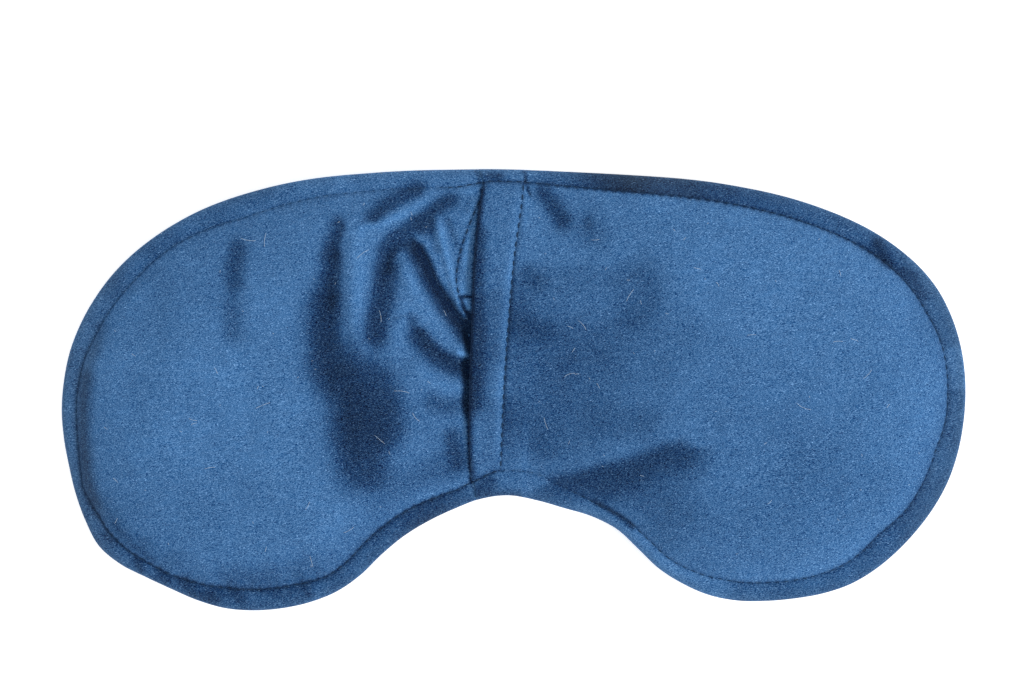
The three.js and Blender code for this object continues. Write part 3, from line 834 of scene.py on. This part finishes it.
back_left, place = cloth("back_panel_left", half_polygon("left", 3.0), left_top, fine=(-48, 3, 0.6))
set_painted_shade(back_left, place, LEFT_FOLDS, left_shade, 0.25)
dress(bend(back_left, "left"), VELVET)
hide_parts("back_cloth_left", "underlap_hem")

brow_x, nose_x = -7.6, -10.0
outer = edge_run(EDGE_XY, lambda x, y: np.where(y > 0, x > brow_x - 1.2, x > nose_x + 0.7))
hem_brow = edge_run(STITCH_RING, lambda x, y: (y > 0) & (x > brow_x) & (x < x_at(FLAP_STITCH_CURVE, y)))[::-1]
hem_nose = edge_run(STITCH_RING, lambda x, y: (y < 0) & (x > nose_x) & (x < x_at(FLAP_STITCH_CURVE, y)))[::-1]
stitch_y = FLAP_STITCH_CURVE[:, 1]
hem_line = FLAP_STITCH_CURVE[(stitch_y < hem_brow[-1][1] - 0.4) & (stitch_y > hem_nose[0][1] + 0.4)]
polygon = np.vstack([
    outer, straight(outer[-1], hem_brow[0]), hem_brow, hem_line, hem_nose, straight(hem_nose[-1], outer[0]),
])
back_right, place = cloth("back_panel_right", polygon, right_top, fine=(-10, 14, 0.6))
set_painted_shade(back_right, place, RIGHT_FOLDS, right_shade, 0.25)
dress(bend(back_right, "right"), VELVET)
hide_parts("back_cloth_right", "back_cloth_bridge", "back_border_brow", "back_border_nose")

for side in ("left", "right"):
    front, place = cloth(
        f"front_panel_{side}", half_polygon(side, SPLIT_X), lower_sheet, 1.8, RINGS[::2], flip=True)
    set_painted_shade(front, place, [], back_shade, 0.3)
    dress(bend(front, side), VELVET)
    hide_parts(f"front_cloth_{side}", "front_cloth_bridge")


# ---- The flap and the underlap's hem ----

def end_y(ring_part, x):
    """The y of the topstitching at each x, above or below the opening."""
    order = np.argsort(ring_part[:, 0])
    return np.interp(x, ring_part[order, 0], ring_part[order, 1])


def flap_section(width, radius=0.9):
    """Offsets in from the folded edge and levels of the flap's section: over the top, round the fold and back."""
    over = radius + (width - radius) * np.linspace(1, 0, 14)
    turn = np.radians([72, 45, 20, 0, -20, -45, -72])
    back = radius + (width - radius) * np.linspace(0, 0.97, 9)
    offset = np.concatenate([over, radius * (1 - np.cos(turn)), back])
    level = np.concatenate([np.ones(14), np.sin(turn), -np.ones(9)])
    return offset, level


def flap_points():
    """The flap's rows from the brow to the nose, each point's distance from the stitching and level."""
    rows, stitch_gap, levels = [], [], []
    for v in np.linspace(0, 1, 96):
        y = np.full(30, 50.2 - 73.2 * v)
        for _ in range(3):
            edge_x, stitch_x = x_at(FLAP_EDGE_CURVE, y), x_at(FLAP_STITCH_CURVE, y)
            offset, level = flap_section((stitch_x - edge_x).mean())
            x = edge_x + offset / offset.max() * (stitch_x - edge_x)
            y = end_y(hem_brow, x) * (1 - v) + end_y(hem_nose, x) * v
        rows.append(np.column_stack([x, y]))
        stitch_gap.append(stitch_x - x)
        levels.append(level)
    return np.array(rows), np.concatenate(stitch_gap), np.concatenate(levels)


rows, stitch_gap, level = flap_points()
p = Place(rows.reshape(-1, 2))
rise = pad_rise(p.past_stitch)
crown = FLAP_TOP + 0.15 * waves(p.x, p.y, 16, 21)
top = border_top(p) + 0.5 + (crown - border_top(p) - 0.5) * rise
near_hem = np.exp(-(stitch_gap / 1.4) ** 2)
top = top * (1 - near_hem) + right_top(p) * near_hem
base = border_top(p) - 0.2 + (FLAP_BASE - border_top(p) + 0.2) * rise
height = (top + base) / 2 + (top - base) / 2 * level
flap = grid_mesh("opening_flap_cloth", np.column_stack([p.xy, height]).reshape(*rows.shape[:2], 3))
# Painted shade on the flap, with no height: dark along its folded left edge where it turns under, and softer
# darker stretches
FLAP_FOLDS = [
    ([(-9.3, 22), (-9.2, 12), (-9.6, 2), (-10.2, -3)], 2.8, 0, -0.74),
    ([(-8.0, 49), (-8.7, 40)], 1.0, 0, -0.60),
    ([(-8.6, 38), (-8.8, 26)], 2.0, 0, -0.62),
    ([(-6, -5), (-6.5, -20)], 4.0, 0, -0.16),
    ([(-10.2, -3), (-10.6, -12), (-10, -22)], 1.1, 0, -0.45),
    ([(0, 21), (-1.6, 6), (-2.6, -8)], 0.9, 0, -0.18),
    ([(-3.5, 22), (-3.8, 8)], 3.0, 0, -0.24),
]


def flap_shade(p):
    # painted shade: a dark line along the flap's hem stitching and darker ends at the topstitching
    hem = p.x - x_at(FLAP_STITCH_CURVE, p.y)
    ends = 0.3 * np.exp(-(p.past_stitch / 0.7) ** 2)
    return 0.80 - 0.20 * np.exp(-(hem / 0.4) ** 2) - ends


set_painted_shade(flap, p, FLAP_FOLDS, flap_shade, 0.5)
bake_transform(flap)
loose_end = smooth(0, 16, np.minimum(end_y(hem_brow, p.x) - p.y, p.y - end_y(hem_nose, p.x)))
lift = smooth(0.2, 4.5, stitch_gap) * loose_end
dress(flap, VELVET)
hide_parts("opening_flap")

hem_rows = []
for y in np.linspace(STITCH_RING[:, 1].max() - 0.6, end_y(hem_nose, 3.0) + 0.4, 60):
    turn = np.radians([90, 60, 30, 0, -30, -60, -90])
    x = np.concatenate([3 + 0.8 * np.cos(turn), np.linspace(2, -11, 9)])
    q = Place(np.column_stack([x, np.full(len(x), y)]))
    over = left_top(Place(np.array([[3.0, y]])))[0]
    under = np.minimum(over - 0.3, seam_z(q) + (3.3 - seam_z(q)) * pad_rise(q.past_stitch))
    level = np.concatenate([np.sin(turn), -np.ones(9)])
    hem_rows.append(np.column_stack([q.xy, (over + under) / 2 + (over - under) / 2 * level]))
underlap = grid_mesh("underlap_hem_cloth", np.array(hem_rows))
set_painted_shade(underlap, Place(np.array(hem_rows).reshape(-1, 3)[:, :2]), [], lambda p: 0.5 + 0 * p.x, 0.3)
dress(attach(underlap, "bridge"), VELVET)
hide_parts("underlap_hem")


# ---- Stitching ----

def on_sheet(xy, height, lift):
    return np.column_stack([xy, height(Place(xy)) + lift])


edge_runs = {
    "left": (edge_run(STITCH_RING, lambda x, y: np.where(y > 0, x < brow_x, x < nose_x)), left_top),
    "right": (edge_run(STITCH_RING, lambda x, y: np.where(y > 0, x > brow_x, x > nose_x)), right_top),
}
for side, (run, height) in edge_runs.items():
    for layer, sheet, sign in (("back", height, 1), ("front", lower_sheet, -1)):
        lift = sign * (0.28 * stitch_pull(Place(run)) - 0.18)
        row = stitches(f"edge_stitches_{layer}_{side}", on_sheet(run, sheet, lift))
        dress(bend(row, side), THREAD)
        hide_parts(f"edge_stitch_{side}", "edge_stitch_brow", "edge_stitch_nose")

hem_row = stitches("flap_stitches", on_sheet(hem_line, right_top, 0.15))
dress(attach(hem_row, "bridge"), THREAD)
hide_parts("flap_stitch")
hem_row = stitches("underlap_stitches", on_sheet(UNDERLAP_STITCH_CURVE, left_top, 0.1))
dress(bend(hem_row, "left"), THREAD)
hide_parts("underlap_stitch")


# ---- Inside the cover ----

def pouch_top(p):
    cover = np.where(p.x < SPLIT_X, left_top(p), right_top(p))
    return 2.0 + (cover - 1.0 - 2.0) * lobe_share(p.x, 22)


def inner_polygon(inset, side, cut):
    ring = EDGE_XY + EDGE_NORMAL * inset
    run = edge_run(ring[::3], (lambda x, y: x < cut) if side == "left" else (lambda x, y: x > cut))
    return np.vstack([run, straight(run[-1], run[0], 3)])


for side, cut, lobe_cut in (("left", SPLIT_X, -22), ("right", SPLIT_X, 18)):
    pouch = pillow(
        f"pouch_{side}", inner_polygon(7.5, side, cut), lambda p: lower_sheet(p) + 0.9, pouch_top, 2.6, 7)
    dress(bend(pouch, side), COTTON)
    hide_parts(f"pouch_base_{side}", f"pouch_top_{side}", "pouch_bridge")
    grain = pillow(
        f"grain_{side}", inner_polygon(12, side, lobe_cut), lambda p: lower_sheet(p) + 1.6,
        lambda p: pouch_top(p) - 0.8 + 0.15 * waves(p.x, p.y, 3, 31), 2.6, 8)
    dress(bend(grain, side), GRAIN)
    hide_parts(f"grain_fill_{side}")

    run = edge_runs[side][0]
    starts = np.array([np.argmin(np.linalg.norm(STITCH_RING - point, axis=1)) for point in run[::2]])
    corners = []
    for share, half in ((0.15, -0.35), (0.85, -0.35), (0.85, 0.35), (0.15, 0.35)):
        q = Place(edge_ring(share)[starts])
        corners.append(np.column_stack([q.xy, seam_z(q) + half]))
    allowance = grid_mesh(f"seam_allowance_{side}", np.stack(corners, axis=1), wrap=True)
    set_painted_shade(allowance, Place(np.stack(corners, axis=1).reshape(-1, 3)[:, :2]), [], lambda p: 0.5 + 0 * p.x, 0)
    dress(bend(allowance, side), VELVET)
    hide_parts(f"edge_allowance_{side}", "edge_allowance_brow", "edge_allowance_nose")

for side, x in (("left", -11.5), ("right", 7.5)):
    line = np.column_stack([np.full(40, x), np.linspace(44, -20, 40), np.full(40, 2.2)])
    row = stitches(f"chamber_stitches_{side}", line)
    dress(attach(row, "bridge"), THREAD)
    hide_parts(f"chamber_stitch_{side}")


# ---- Loose fibres on the pile ----

rng = np.random.default_rng(4)
for side, height, reach in (("left", left_top, (-104, -16)), ("right", right_top, (6, 104))):
    hairs = []
    while len(hairs) < 50:
        at = np.array([rng.uniform(*reach), rng.uniform(-44, 46)])
        heading, bow = rng.uniform(0, 2 * math.pi), rng.uniform(-0.9, 0.9)
        size = 0.4 + 3.6 * rng.uniform() ** 4
        t = np.linspace(0, 1, 7)
        angle = heading + bow * t
        xy = at + size / 6 * np.cumsum(np.column_stack([np.cos(angle), np.sin(angle)]), axis=0)
        q = Place(xy)
        if q.past_stitch.min() < 2 or not inside(xy, EDGE_XY).all():
            continue
        hairs.append(np.column_stack([xy, height(q) + 0.12]))
    lint = tubes(f"lint_{side}", hairs, np.full(7, 0.035), 4)
    dress(bend(lint, side), LINT)


# ---- Floor, light and camera ----

def area_light(name, place, size, power, target=(0, 0, 0)):
    data = bpy.data.lights.new(name, "AREA")
    data.shape = "DISK"
    data.size = size
    data.energy = power
    light = bpy.data.objects.new(name, data)
    light.location = place
    light.rotation_euler = (Vector(target) - Vector(place)).to_track_quat("-Z", "Y").to_euler()
    bpy.context.collection.objects.link(light)


bpy.ops.mesh.primitive_plane_add(size=6)
floor = bpy.context.object
floor.name = "floor"
floor.location.z = -0.0002
paper, nodes, links, shader = new_material("floor")
shader.inputs["Base Color"].default_value = (0.92, 0.92, 0.92, 1)
shader.inputs["Roughness"].default_value = 1.0
shader.inputs["Emission Color"].default_value = (1, 1, 1, 1)
shader.inputs["Emission Strength"].default_value = 0.5
floor.data.materials.append(paper)

world = bpy.data.worlds.new("studio")
world.use_nodes = True
world.node_tree.nodes["Background"].inputs["Color"].default_value = (1, 1, 1, 1)
world.node_tree.nodes["Background"].inputs["Strength"].default_value = 0.8
bpy.context.scene.world = world
area_light("key", (0.75, -0.25, 0.65), 0.5, 5.5)

camera = bpy.data.objects.new("camera", bpy.data.cameras.new("camera"))
camera.data.lens = 85
camera.data.clip_start = 0.01
camera.location = (-0.0004, 0.0106, 0.5928)
bpy.context.collection.objects.link(camera)
bpy.context.scene.camera = camera
bpy.context.scene.view_settings.view_transform = "Standard"
